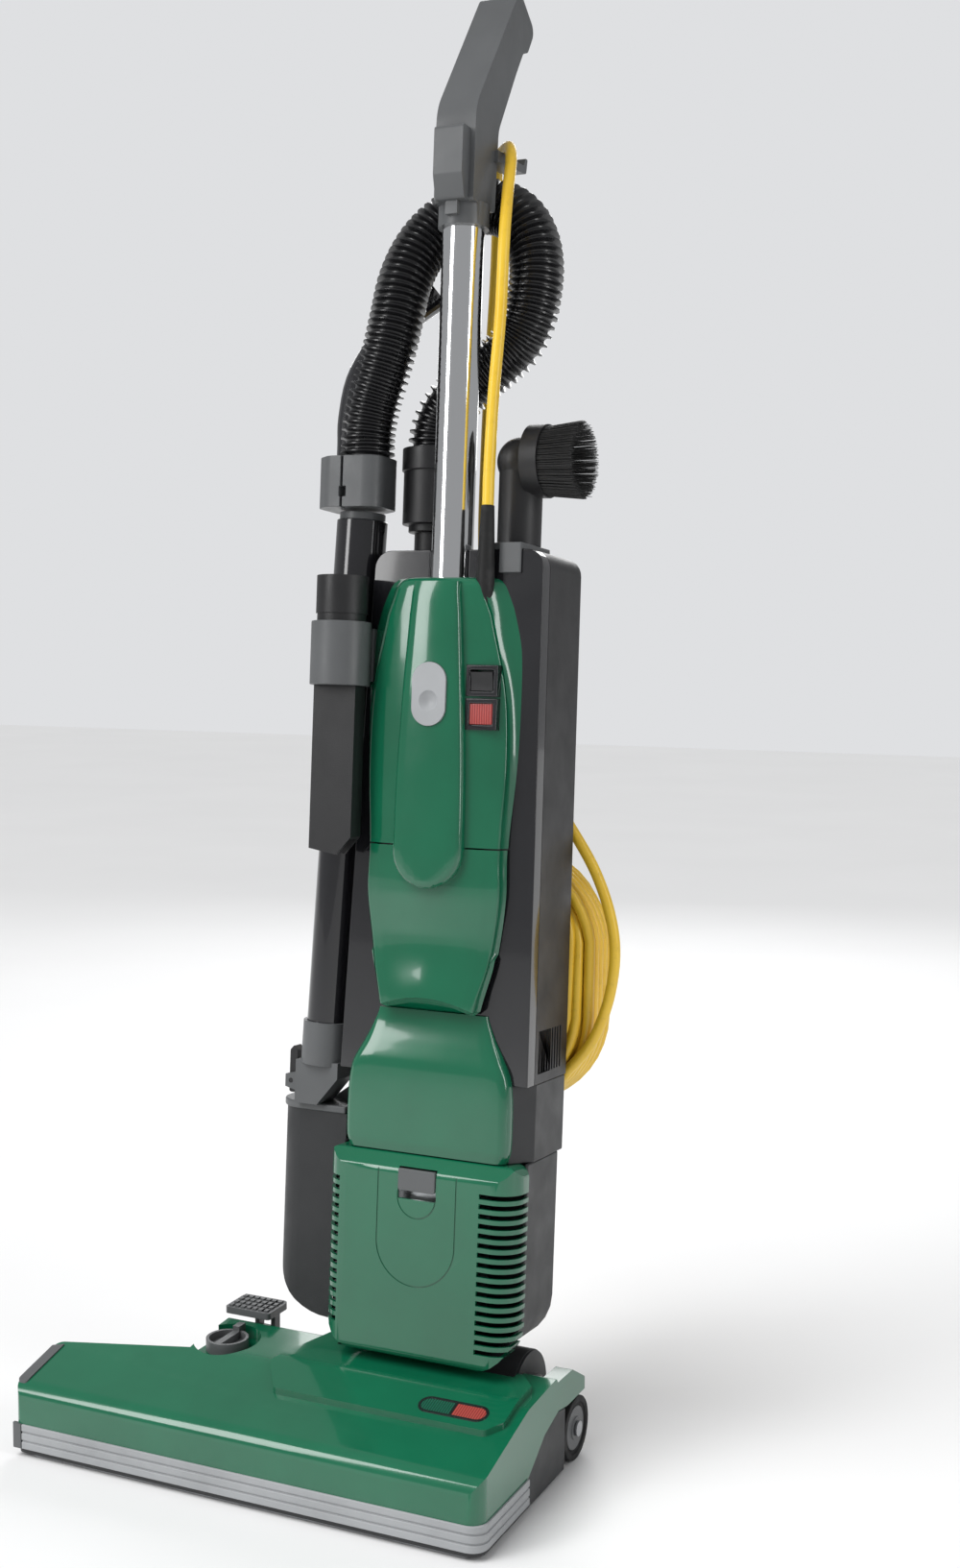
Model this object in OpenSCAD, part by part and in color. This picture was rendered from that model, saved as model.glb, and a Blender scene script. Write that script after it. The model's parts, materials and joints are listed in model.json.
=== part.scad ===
// Commercial upright vacuum cleaner with an offset head, an on-board wand, hose and two tools.
// The head stands on the floor at Z = 0 with its front towards -Y. The upright part is drawn
// standing straight and is then leaned back about its neck pivot.

/* [Head] */
// Width across the bumper
head_w = 405; // [401:1:409]
// Distance from the origin to the bumper's front
head_front = 85; // [84:0.5:86]
// Distance from the origin to the back of the head's right arm
head_back = 112; // [110:1:114]
// Radius of the two rear wheels
wheel_r = 25; // [24:0.5:25]
// Radius of the brush over its bristles
brush_r = 23; // [21:0.5:23]
// Height of the bumper strip's top edge
bumper_top = 26.5; // [25:0.5:27]

/* [Upright] */
// Backward lean of the stored upright, in degrees
lean = 4.2; // [3:0.1:6]
// Middle of the upright, right of the head's middle
body_x = 97.5; // [97:0.5:98]
// Width of the upright's housings
body_w = 160; // [159:0.5:161]
// Back face of the bag housing
body_back = 107; // [105:1:109]
// Height of the bag housing's top
housing_top = 706; // [700:1:712]
// Radius of the chromed handle tube
pole_r = 16; // [15:0.5:16]

/* [Hose and cord] */
// Outer diameter of the suction hose
hose_d = 43; // [41:0.5:43]
// Diameter of the mains cord
cord_d = 9; // [8:0.5:9]

/* [Hidden] */
$fn = 48;
CLEAR = 0.05;

GREEN = [0.11, 0.47, 0.36];
DARK = [0.22, 0.22, 0.23];
BLACK = [0.08, 0.08, 0.09];
GREY = [0.45, 0.46, 0.47];
PALE = [0.64, 0.65, 0.66];
CHROME = [0.86, 0.87, 0.88];
YELLOW = [0.88, 0.70, 0.12];
STEEL = [0.7, 0.7, 0.72];

// Head
half_w = head_w/2;
cover_half = half_w - 1.5;
cover_front = head_front - 1.5;
wing_x = -90;
cover_back = 56;
pad_lift = 5;
wall = 2.5;
pivot = [70, 58];
brush_axis = [-52, brush_r + 1];
motor_axis = [24, 40];
axle = [98, wheel_r];
axle_r = 4;
belt_x = -80;
core_r = 12.5;
groove_r = 13.5;
pinion_r = 7;
knob_at = [-70, 19];
pedal_pin = [66, 70];
pill_at = [150, -21];
slot_w = 68;
screw_xs = [-80, 8];

// Upright
left = body_x - body_w/2;
right = body_x + body_w/2;
cover_y = 11;
housing_y = 38;
shell_y = 30;
seam_y = 44;
collar_z = 243;
shell_z = 302;
door_z = 480;
door_base = 352;
panel_top = 684;
crown_r = 218;
pole_y = 35;
pole_foot = 590;
pole_top = 952;
fan_at = [body_x, 57];
button_z = 595;
switch_at = [136.5, 606];
lamp_at = [136.5, 581];
relief_at = [132, 22];

// Wand, hose and tools
wand_foot = [-6, 50, 322];
wand_tilt = 2.3;
wand_r = 16.8;
lever_pin = [-33, 284];
crevice_at = [18, 8];
cuff_at = [60, 75];
duster_at = [141, 62];
duster_z = 776;

// Cord store on the housing's back
coil_x = 112;
coil_low = 345;
coil_high = 395;
coil_out = 80;
coil_in = 44;
coil_y = 115;
coil_depth = 54;
plug_top = 388;
plug_at = [145.5, 123.5];

// ---------------------------------------------------------------- helpers

function unit(v) = v/norm(v);

// One corner of an outline, turned into an arc of radius r
function corner(p, a, b, r, n) = r <= 0 ? [p] :
    let (u = unit(a - p), w = unit(b - p), half = acos(u*w)/2)
    let (c = p + unit(u + w)*r/sin(half), s = p + u*r/tan(half) - c, e = p + w*r/tan(half) - c)
    let (a0 = atan2(s[1], s[0]), sweep = (atan2(e[1], e[0]) - a0 + 540) % 360 - 180)
    [for (i = [0:n]) c + r*[cos(a0 + sweep*i/n), sin(a0 + sweep*i/n)]];

// An outline whose corners are rounded to the radii given
function rounded(pts, radii, n = 6) = let (k = len(pts))
    [for (i = [0:k - 1]) each corner(pts[i], pts[(i + k - 1) % k], pts[(i + 1) % k], radii[i], n)];

function arc(c, r, a0, a1, n = 12) =
    [for (i = [0:n]) c + r*[cos(a0 + (a1 - a0)*i/n), sin(a0 + (a1 - a0)*i/n)]];

// A smooth curve through a route's points, with steps pieces between each two
function curve(p, steps) = let (k = len(p) - 1)
    [for (i = [0:k - 1], j = [0:steps - 1])
        let (t = j/steps, a = p[max(i - 1, 0)], b = p[i], c = p[i + 1], d = p[min(i + 2, k)])
        (2*b + (c - a)*t + (2*a - 5*b + 4*c - d)*t*t + (3*b - a - 3*c + d)*t*t*t)/2,
     p[k]];

// Directions square to a path, carried along it without twisting
function carried(t, n, i = 0, done = []) = i == len(t) ? done :
    let (m = unit(n - (n*t[i])*t[i])) carried(t, m, i + 1, concat(done, [m]));

module tube_along(path, radii, sides, start) {
    last = len(path) - 1;
    ways = [for (i = [0:last]) unit(path[min(i + 1, last)] - path[max(i - 1, 0)])];
    across = carried(ways, start);
    points = [for (i = [0:last], s = [0:sides - 1])
        let (a = 360*s/sides, r = radii[min(i, len(radii) - 1)])
        path[i] + r*(cos(a)*across[i] + sin(a)*cross(ways[i], across[i]))];
    sidewalls = [for (i = [0:last - 1], s = [0:sides - 1])
        let (a = i*sides + s, b = i*sides + (s + 1) % sides)
        each [[a, b + sides, b], [a, a + sides, b + sides]]];
    foot = [for (s = [0:sides - 1]) s];
    head = [for (s = [0:sides - 1]) last*sides + sides - 1 - s];
    polyhedron(points = points, faces = concat(sidewalls, [foot], [head]), convexity = 10);
}

module span(a, b) translate(a) cube(b - a);
module along_x(x0, x1) translate([x0, 0, 0]) rotate([90, 0, 90]) linear_extrude(x1 - x0) children();
module along_y(y0, y1) translate([0, y1, 0]) rotate([90, 0, 0]) linear_extrude(y1 - y0) children();
module along_z(z0, z1) translate([0, 0, z0]) linear_extrude(z1 - z0) children();
module rod_x(x0, x1, at, r) translate([x0, at[0], at[1]]) rotate([0, 90, 0]) cylinder(r = r, h = x1 - x0);
module rod_z(at, r, z0, z1) translate([at[0], at[1], z0]) cylinder(r = r, h = z1 - z0);

module ring_z(at, r, bore, z0, z1) difference() {
    rod_z(at, r, z0, z1);
    rod_z(at, bore, z0 - 1, z1 + 1);
}

// Two round ends joined by straight sides, long along X and centred
module pill(length, width) {
    for (s = [-1, 1]) translate([s*(length - width)/2, 0]) circle(d = width);
    square([length - width, width], center = true);
}

// Everything on the upright is drawn standing and leaned back about the neck pivot
module upright() translate([0, pivot[0], pivot[1]]) rotate([-lean, 0, 0])
    translate([0, -pivot[0], -pivot[1]]) children();

// The wand stands along the housing's tapered left side
module beside_wand() upright() translate(wand_foot) rotate([0, wand_tilt, 0])
    translate([0, 0, -wand_foot[2]]) children();

// ---------------------------------------------------------------- head outlines

// Side view of the head's top, from the front edge over the deck to its back
function deck(lift, inset, base = bumper_top) = let (f = -cover_front + inset, t = lift - inset) rounded(
    [[f, base], [f, 56.5 + t], [0, 78.5 + t], [cover_back - inset, 82 + t], [cover_back - inset, base]],
    [0, 14, 60, 4, 0]);

// Plan of the head: the deep part on the right, the shallow wing on the left
function head_plan(inset) = let (x = cover_half - inset, f = -cover_front + inset) rounded(
    [[-x, f], [x, f], [x, head_back - inset], [174 + inset, head_back - inset], [174 + inset, 34 - inset],
     [22 - inset, 34 - inset], [22 - inset, cover_back - inset], [wing_x + inset, cover_back - inset],
     [wing_x + inset, -4 - inset], [-x, -27 - inset]], [7, 12, 4, 2, 0, 0, 2, 4, 0, 7]);

// Plan of the raised pad in front of the upright
function pad_plan() = rounded([[6, -36], [182, -36], [192, -24], [192, 26], [180, 40], [10, 60], [-14, -8]],
    [4, 6, 4, 3, 0, 0, 6]);

// Side view of the green cheek over the right wheel
function cheek(inset) = let (i = inset) rounded([[24, 40], [24, 79 - i], [86, 77 - i],
    [head_back - i, 62 - i], [head_back - i, 52], [76, 52], [58, 55], [31, 47]], [0, 0, 3, 3, 0, 0, 0, 0]);

// Left end of each suction slot in the sole
function slot_x(i) = -180 + 73*i;

module pill_column() translate([pill_at[0], pill_at[1], 0]) children();

// ---------------------------------------------------------------- head

module sole_plate() color(STEEL) difference() {
    along_z(0, 3) polygon(rounded([[-192, -79], [192, -79], [192, 16], [-84, 16], [-84, -14], [-192, -32]],
        [6, 6, 4, 4, 0, 4]));
    for (i = [0:4]) span([slot_x(i), -72, -1], [slot_x(i) + slot_w, -37, 4]);
}

// The chassis is two mouldings that meet behind the air passage
module head_chassis() color(DARK) difference() {
    chassis_solid();
    behind_passage();
}

// Rear moulding: the arms that hold the axle, the pedal's pin and the neck's trunnions
module rear_carriage() color(DARK) intersection() {
    chassis_solid();
    behind_passage();
}

module behind_passage() span([-210, 34, 0], [210, 130, 95]);

module chassis_solid() difference() {
    union() {
        // Floor with the perimeter wall that carries the cover
        along_z(3, 7) polygon(head_plan(1));
        along_z(7, bumper_top) difference() {
            polygon(head_plan(2.6));
            polygon(head_plan(5.2));
        }
        // Roof over the brush
        intersection() {
            rod_x(-194, 194, brush_axis, brush_r + 4.5);
            span([-194, -79, 7], [194, -24, 60]);
            along_z(6, 61) polygon(head_plan(wall + 0.3));
        }
        // Air passage to the neck
        span([40, -28, 5], [156, 34, 48]);
        // Motor cradle
        for (x = [-58, -4]) span([x, 2, 5], [x + 8, 46, 30]);
        // Seats for the neck's trunnions
        for (x = [14, 174]) {
            rod_x(x, x + 8, pivot, 16);
            span([x, pivot[0] - 16, 5], [x + 8, pivot[0] + 16, pivot[1]]);
        }
        // Rib that ties the left seat to the floor
        span([14, 28, 5], [19.2, 60, 40]);
        // Arms to the axle
        span([-70, 40, 3], [-52, 109, 34]);
        span([-70, 52, 30], [-52, 78, 62]);
        span([176, 34, 3], [184, 110, 40]);
        // Ear for the pedal's pin
        span([-66, 60, 60], [-56, 72, pedal_pin[1]]);
        rod_x(-66, -56, pedal_pin, 6);
        // Dark side panel behind the bumper's end
        along_x(cover_half - 3, cover_half - 0.4)
            polygon([[1, 7], [74, 7], [74, 51], [58, 54], [31, 46], [1, bumper_top - 0.5]]);
    }
    // Brush space, open at the sole
    rod_x(-181, 191, brush_axis, brush_r + 2);
    rod_x(-191, -180, brush_axis, 5);
    for (i = [0:4]) span([slot_x(i), -72, 0], [slot_x(i) + slot_w, -37, 12]);
    span([44, -40, 9], [152, 40, 44]);
    span([belt_x - 8, -40, 9], [belt_x + 8, 20, 62]);
    rod_x(-69, 13, motor_axis, 24.1);
    for (x = [13, 173]) rod_x(x, x + 10, pivot, 10 + CLEAR);
    rod_x(-72, 186, axle, axle_r + 0.02);
    rod_x(-67, -55, pedal_pin, 3 + CLEAR);
    for (x = screw_xs, y = [24, 48]) rod_z([x, y], 2.5, 2, 8);
    for (x = screw_xs, y = [24, 48]) rod_z([x, y], 4.5, 2, 5);
    // Room for the right wheel
    span([185, 72, -1], [half_w, 130, 60]);
    span([183, -62.2, 6.9], [191, -41.8, 38.1]);
    span([-191, -62.2, 6.9], [-183, -41.8, 38.1]);
}

module head_cover() color(GREEN) difference() {
    union() {
        intersection() {
            along_x(-cover_half, cover_half) polygon(deck(0, 0));
            along_z(bumper_top, 95) polygon(head_plan(0));
        }
        intersection() {
            along_x(-20, 200) polygon(deck(pad_lift, 0));
            along_z(60, 95) polygon(pad_plan());
            along_z(20, 95) polygon(head_plan(0));
        }
        along_x(187, cover_half) polygon(cheek(0));
        along_x(174, 188) polygon(cheek(7));
    }
    difference() {
        intersection() {
            along_x(-cover_half + wall, cover_half - wall) polygon(deck(0, wall, bumper_top - 2));
            along_z(bumper_top - 2, 95) polygon(head_plan(wall));
        }
        rod_z(knob_at, 29.5, 66, 95);
    }
    along_x(176, cover_half - wall) translate([0, -wall]) polygon(cheek(wall));
    // Pocket and bore for the height knob
    rod_z(knob_at, 27, 71, 95);
    rod_z(knob_at, 8 + CLEAR, 60, 95);
    translate([knob_at[0], knob_at[1], 60]) cylinder(r = 40, h = 8);
    // Window for the indicator
    pill_column() along_z(60, 95) pill(56, 17);
    // Room for the side panel, under the cover's right edge
    along_x(cover_half - 3.2, cover_half + 1) polygon([[0.5, 20], [0.5, bumper_top], [31, 47], [58, 55],
        [76, 52], [head_back + 1, 52], [head_back + 1, 20]]);
    // Room for the upright's neck
    span([22, 34, 20], [174, 120, 100]);
    // Notches where the chassis's arms and trunnion seats pass through
    span([-70.3, 50, 20], [-51.7, 60, 62.3]);
    span([13.7, 50, 20], [23, 60, 74.5]);
    span([173, 52, 20], [182.6, 88, 76]);
    span([173, 30, 20], [184.3, 60, 53]);
    span([173, 87, 20], [176.2, 113, 80]);
    span([182, 50, 20], [cover_half - wall, 60, 53]);
    // Notch where the air passage leaves for the neck
    span([39.5, 30, 20], [156.5, 36, 48.5]);
}

module bumper() color(PALE) difference() {
    along_z(7, bumper_top) difference() {
        polygon(rounded([[-193.5, -head_front], [half_w, -head_front], [half_w, 0], [-193.5, 0]],
            [0, 13, 0, 0]));
        polygon(rounded([[-200, -head_front + 3.8], [half_w - 3.8, -head_front + 3.8], [half_w - 3.8, 9],
            [-200, 9]], [0, 10, 0, 0]));
    }
    // Two moulded grooves round the strip
    for (z = [12.5, 19.5]) difference() {
        span([-210, -100, z], [210, 1, z + 1.6]);
        along_z(z - 1, z + 3) polygon(rounded([[-210, -head_front + 1.2], [half_w - 1.2, -head_front + 1.2],
            [half_w - 1.2, 9], [-210, 9]], [0, 12, 0, 0]));
    }
}

module left_end_trim() color(GREY) {
    // Block that closes the bumper's left end
    along_z(7, bumper_top) polygon(rounded([[-half_w, -head_front], [-194, -head_front], [-194, -81.3],
        [-half_w, -81.3]], [2, 0, 0, 0]));
    // Strip along the wing's left shoulder
    difference() {
        intersection() {
            along_x(-cover_half - 0.9, -cover_half + 8) polygon(deck(1.2, 0));
            along_z(40, 95) polygon(rounded([[-cover_half - 0.9, -78], [-cover_half + 8, -78],
                [-cover_half + 8, -30], [-cover_half - 0.9, -34]], [3, 3, 0, 0]));
        }
        along_x(-cover_half, 0) polygon(deck(0, 0));
        span([-210, -90, 0], [-190, -20, 55]);
    }
}

module indicator_frame() color(BLACK) difference() {
    intersection() {
        along_x(100, 200) polygon(deck(pad_lift + 0.6, 0));
        pill_column() along_z(66, 95) pill(55.9, 16.9);
    }
    along_x(100, 200) polygon(deck(pad_lift - 4, 0));
    for (s = [-1, 1]) lens_column(s, 0.05);
}

module lens_column(side, gap) intersection() {
    pill_column() along_z(60, 96) pill(52 + 2*gap, 13 + 2*gap);
    translate([pill_at[0] + side*(15 + 1), pill_at[1], 80]) cube([30 + 2*gap, 30, 60], center = true);
}

module lens(side) intersection() {
    difference() {
        along_x(100, 200) polygon(deck(pad_lift + 0.3, 0));
        along_x(100, 200) polygon(deck(pad_lift - 4, 0));
    }
    lens_column(side, 0);
}

module green_lens() color([0.02, 0.22, 0.15]) lens(-1);
module red_lens() color([0.35, 0.06, 0.07]) lens(1);

module brush_motor() color(STEEL) {
    rod_x(-68, 12, motor_axis, 24);
    difference() {
        rod_x(-71, -68, motor_axis, 12);
        rod_x(-72, -67, motor_axis, 3 + CLEAR);
    }
}

// The belt's loop round both pulleys, seen from the side
function loop_round(a, ra, b, rb) =
    let (way = atan2(b[1] - a[1], b[0] - a[0]), open = acos((ra - rb)/norm(b - a)))
    concat(arc(a, ra, way + open, way + 360 - open, 24), arc(b, rb, way - open, way + open, 16));

module drive_belt() color(BLACK) along_x(belt_x - 4, belt_x + 4) difference() {
    polygon(loop_round(brush_axis, groove_r + 2, motor_axis, pinion_r + 2));
    polygon(loop_round(brush_axis, groove_r + 0.1, motor_axis, pinion_r + 0.1));
}

module brush_bearings() color(STEEL) for (s = [-1, 1]) difference() {
    translate([s*187, brush_axis[0], 22.5]) cube([7.8, 20, 31], center = true);
    rod_x(s*187 - 6, s*187 + 6, brush_axis, 4 + CLEAR);
}

module rear_axle() color(STEEL) {
    rod_x(-88, cover_half, axle, axle_r);
    rod_x(-90, -88, axle, 6);
    rod_x(cover_half, cover_half + 1.4, axle, 6);
}

module head_screws() color(STEEL) for (x = screw_xs, y = [24, 48]) {
    rod_z([x, y], 4.3, 3.2, 5);
    rod_z([x, y], 2.4, 4.5, 14);
}

module brush_core() color(DARK) {
    rod_x(-180, 180, brush_axis, core_r);
    rod_x(-190, 190, brush_axis, 4);
    // Belt pulley between two flanges
    for (x = [belt_x - 7.5, belt_x + 5]) rod_x(x, x + 2.5, brush_axis, groove_r + 3);
    rod_x(belt_x - 5, belt_x + 5, brush_axis, groove_r);
}

// Two spiral rows of tufts, left clear where the belt runs and over the sole plate's bars
module brush_bristles() color(BLACK) for (row = [0:1], i = [0:35]) {
    x = -175 + 10*i;
    if (abs(x - belt_x) > 11 && min([for (k = [0:3]) abs(x - slot_x(k) - slot_w - 2.5)]) > 5.4)
        translate([x, brush_axis[0], brush_axis[1]]) rotate([180*row + 1.6*(x + 175), 0, 0])
            translate([0, 0, core_r - 1]) cylinder(r = 2.6, h = brush_r - core_r + 1, $fn = 16);
}

module motor_pulley() color(STEEL) {
    rod_x(-86, -70.5, motor_axis, 3);
    rod_x(belt_x - 5, belt_x + 5, motor_axis, pinion_r);
    for (x = [belt_x - 6.5, belt_x + 5]) rod_x(x, x + 1.5, motor_axis, pinion_r + 3);
}

module wheel_hub(x) color(GREY) difference() {
    union() {
        rod_x(x + 1, x + 13, axle, 17);
        rod_x(x - 0.5, x + 14, axle, 9);
    }
    rod_x(x - 2, x + 16, axle, axle_r + CLEAR);
}

module tyre(x) color(BLACK) difference() {
    rod_x(x, x + 14, axle, wheel_r);
    rod_x(x - 1, x + 15, axle, 17);
    rod_x(x + 12.5, x + 15, axle, 20);
}

module left_wheel_hub() wheel_hub(-87);
module left_tyre() tyre(-87);
module right_wheel_hub() wheel_hub(186);
module right_tyre() tyre(186);

module height_knob() color(GREY) {
    rod_z(knob_at, 8, 65, 72);
    rod_z(knob_at, 17, 71.2, 75);
    ring_z(knob_at, 17, 14.5, 75, 81);
    translate([knob_at[0] - 3, knob_at[1] - 15, 75]) cube([6, 30, 6]);
    translate([knob_at[0] - 3, knob_at[1] + 13, 75]) cube([6, 10, 10]);
}

module release_pedal() color(GREY) {
    along_z(86.5, 92) polygon(rounded([[-92, 50], [-50, 50], [-50, 82], [-92, 82]], [3, 3, 5, 5]));
    // Raised grip pads
    for (i = [0:6], j = [0:3]) span([-89.5 + 5.5*i, 52.5 + 7.2*j, 92], [-86 + 5.5*i, 57 + 7.2*j, 93.4]);
    for (x = [-70.5, -55.5]) span([x, 62, 66], [x + 4, 70, 87]);
    for (x = [-70.5, -55.5]) rod_x(x, x + 4, pedal_pin, 5.5);
    rod_x(-70, -52, pedal_pin, 3);
}

// ---------------------------------------------------------------- upright, lower part

module neck_yoke() color(DARK) upright() {
    difference() {
        union() {
            rod_x(26, 170, pivot, 34);
            span([58, 50, 72], [137, 92, 92]);
        }
        rod_x(29, 167, pivot, 30.5);
        span([64, 56, 60], [131, 86, 93]);
        span([44, 20, 44], [152, 60, 56]);
    }
    rod_x(13.5, 26, pivot, 10);
    rod_x(170, 182.5, pivot, 10);
    for (x = [24, 169]) rod_x(x, x + 3, pivot, 33);
}

module lower_housing() color(DARK) upright() difference() {
    along_y(housing_y, 98) polygon(rounded([[18, collar_z], [18, 92], [177, 92], [177, collar_z]],
        [0, 38, 38, 0]));
    along_y(housing_y - 1, 95) polygon(rounded([[21, collar_z + 1], [21, 95], [174, 95],
        [174, collar_z + 1]], [0, 35, 35, 0]));
}

module side_duct() color(DARK) upright() difference() {
    duct_solid(0);
    duct_solid(wall);
}

module duct_solid(inset) intersection() {
    along_y(40, 100) polygon(rounded([[-46 + inset, 262 - inset], [-46 + inset, 98 + inset],
        [17.5 - inset, 98 + inset], [17.5 - inset, 262 - inset]], [0, 52 - inset, 0, 0], 10));
    along_z(90, 270) polygon(rounded([[-46 + inset, 44 + inset], [17.5 - inset, 44 + inset],
        [17.5 - inset, 94 - inset], [-46 + inset, 94 - inset]], [22 - inset, 0, 0, 22 - inset], 10));
}

module duct_lid() color(GREY) upright() {
    along_z(262, 268) polygon(rounded([[-48, 42], [17, 42], [17, 96], [-48, 96]], [24, 0, 0, 24], 10));
    // Stiffening fin beside the socket
    along_y(66, 69) polygon([[-10, 268], [17, 268], [17, 284], [12, 284]]);
}

module dock_socket() color(GREY) {
    beside_wand() difference() {
        rod_z([0, 0], 19.5, 300, 334);
        rod_z([0, 0], wand_r + CLEAR, 304, 335);
    }
    upright() difference() {
        along_y(36, 64) polygon([[-26, 302.5], [12, 302.5], [12, 290], [-6, 268], [-26, 268]]);
        beside_wand_bore();
    }
    // Ears for the lever's pin
    upright() for (y = [41, 55.5]) difference() {
        along_y(y, y + 3.5) polygon([[-38, 279], [-26, 276], [-26, 292], [-38, 289]]);
        along_y(y - 1, y + 5) translate(lever_pin) circle(r = 2 + CLEAR);
    }
}

module beside_wand_bore() translate(wand_foot) rotate([0, wand_tilt, 0]) translate([0, 0, -wand_foot[2]])
    rod_z([0, 0], 15, 299, 340);

module dock_lever() color(DARK) upright() {
    along_y(45, 55) polygon(rounded([[-36.5, 274], [-29.5, 274], [-29.5, 308], [-33, 312], [-36.5, 308]],
        [2, 0, 0, 1, 2]));
    along_y(41, 59) translate(lever_pin) circle(r = 2);
}

module mid_frame() color(DARK) upright() difference() {
    along_z(collar_z, shell_z) polygon(frame_plan(0));
    along_z(collar_z - 1, shell_z + 1) polygon(frame_plan(3));
}

function frame_plan(i) = rounded([[left + 13 + i*0.6, shell_y + i], [right - 13 - i*0.6, shell_y + i],
    [right - i, 48 + i*0.4], [right - i, body_back - i], [left + i, body_back - i], [left + i, 48 + i*0.4]],
    [1, 1, 3, 3, 3, 3]);

module bulge_cover() color(GREEN) upright() difference() {
    bulge_solid(0);
    bulge_solid(wall);
}

module bulge_solid(i) intersection() {
    along_y(10 + i, shell_y + 1) polygon(rounded([[body_x - 69 + i, collar_z + 0.5 + i],
        [body_x + 69 - i, collar_z + 0.5 + i], [body_x + 69 - i, 306], [body_x + 49 - i, 344],
        [body_x + 46 - i, 353 - i], [body_x - 46 + i, 353 - i], [body_x - 49 + i, 344],
        [body_x - 69 + i, 306]],
        [6, 6, 14, 10, 0, 0, 10, 14]));
    along_x(0, 200) polygon(rounded([[shell_y, collar_z], [19 + i, collar_z], [19 + i, 314], [25 + i, 334],
        [27 + i, 354], [shell_y, 354]], [0, 0, 14, 10, 0, 0]));
    along_z(200, 400) polygon(rounded([[body_x - 70 + i, shell_y], [body_x - 70 + i, 19 + i],
        [body_x + 70 - i, 19 + i], [body_x + 70 - i, shell_y]], [0, 8, 8, 0]));
}

module motor_cover() color(GREEN) upright() difference() {
    cover_solid(0);
    cover_solid(wall);
    // Cooling slots round both front corners
    for (i = [0:15]) span([body_x - 90, 5, 108 + 7.3*i], [body_x - 67, 40, 111.8 + 7.3*i]);
    for (i = [0:16]) span([body_x + 52, 5, 102 + 7.3*i], [body_x + 90, 40, 105.8 + 7.3*i]);
    // Recess for the latch
    span([body_x - 16, 5, 211], [body_x + 16, 20, 235]);
    // Moulded outline grooves
    groove_u(16, 197, 216);
    groove_u(33, 145, 232);
}

// A thin U-shaped groove, w half wide, from z0 up to z1
module groove_u(w, z0, z1) along_y(5, cover_y + 0.7) difference() {
    union() {
        translate([body_x, z0 + w]) circle(r = w + 0.5);
        translate([body_x - w - 0.5, z0 + w]) square([2*w + 1, z1 - z0 - w]);
    }
    translate([body_x, z0 + w]) circle(r = w - 0.5);
    translate([body_x - w + 0.5, z0 + w]) square([2*w - 1, z1 - z0 - w + 1]);
}

module cover_solid(i) intersection() {
    along_y(cover_y + i, housing_y + i) polygon(rounded([[body_x - 81 + i, collar_z - i],
        [body_x - 81 + i, 88 + i], [body_x + 81 - i, 88 + i], [body_x + 81 - i, collar_z - i]],
        [10, 34 - i, 34 - i, 10], 8));
    along_x(0, 200) polygon(rounded([[housing_y + i, collar_z - i], [20, collar_z - i], [cover_y + i, 232],
        [cover_y + i, 88 + i], [housing_y + i, 88 + i]], [0, 4, 8, 7, 0]));
    along_z(80, 260) polygon(rounded([[body_x - 81 + i, housing_y + i], [body_x - 81 + i, cover_y + i],
        [body_x + 81 - i, cover_y + i], [body_x + 81 - i, housing_y + i]], [0, 20 - i, 20 - i, 0], 8));
}

module cover_latch() color(GREY) upright() {
    along_y(9.5, 13) polygon(rounded([[body_x - 15.5, 217.5], [body_x + 15.5, 217.5],
        [body_x + 15.5, 234], [body_x - 15.5, 234]], [2, 2, 1, 1]));
    span([body_x - 9, 13, 222], [body_x + 9, 19, 228]);
}

module vacuum_motor_can() color(STEEL) upright() difference() {
    rod_z(fan_at, 38, 112, 226);
    rod_z(fan_at, 35.5, 115, 222);
    rod_z(fan_at, 4 + CLEAR, 110, 118);
    rod_z(fan_at, 12, 218, 228);
}

module fan_rotor() color(STEEL) upright() {
    rod_z(fan_at, 4, 112.5, 216);
    rod_z(fan_at, 22, 130, 178);
    rod_z(fan_at, 33, 192, 195);
    for (a = [0:45:315]) translate([fan_at[0], fan_at[1], 0]) rotate([0, 0, a])
        span([8, -1, 194.5], [32, 1, 208]);
}

// ---------------------------------------------------------------- upright, upper part

function shell_front_view(i) = rounded([[left + i, shell_z + i], [right - i, shell_z + i],
    [right - 2 - i, housing_top - i], [left + 16.5 + i, housing_top - i]], [0, 0, 14 - i, 14 - i]);

module bag_shell_front() color(BLACK) upright() difference() {
    union() {
        difference() {
            along_y(shell_y, seam_y) polygon(shell_front_view(0));
            along_y(shell_y + wall, seam_y + 1) polygon(shell_front_view(wall));
        }
        intersection() {
            rod_z([body_x, pole_y], pole_r + 3.6, pole_foot - 5, housing_top);
            span([0, shell_y, 0], [200, 80, 800]);
        }
    }
    rod_z([body_x, pole_y], pole_r + CLEAR, pole_foot - 1, housing_top + 10);
    span([body_x - pole_r, 0, pole_foot - 1], [body_x + pole_r, pole_y, housing_top + 10]);
}

module bag_shell_rear() color(DARK) upright() difference() {
    along_y(seam_y, body_back) polygon(shell_front_view(0));
    along_y(seam_y - 1, body_back - wall) polygon(shell_front_view(wall));
    rod_z([body_x, pole_y], pole_r + 4, pole_foot - 6, housing_top + 10);
    // Exhaust slots low on the right side
    for (i = [0:8]) span([right - 8, 50 + 5.2*i, 310], [right + 8, 52.6 + 5.2*i, 342]);
    // Inlet under the hose cuff
    rod_z(cuff_at, 11, housing_top - 10, housing_top + 10);
}

module dust_bag() color([0.85, 0.82, 0.74]) upright() along_y(58, 102)
    polygon(rounded([[40, 330], [158, 330], [158, 690], [48, 690]], [20, 20, 24, 24]));

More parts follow.
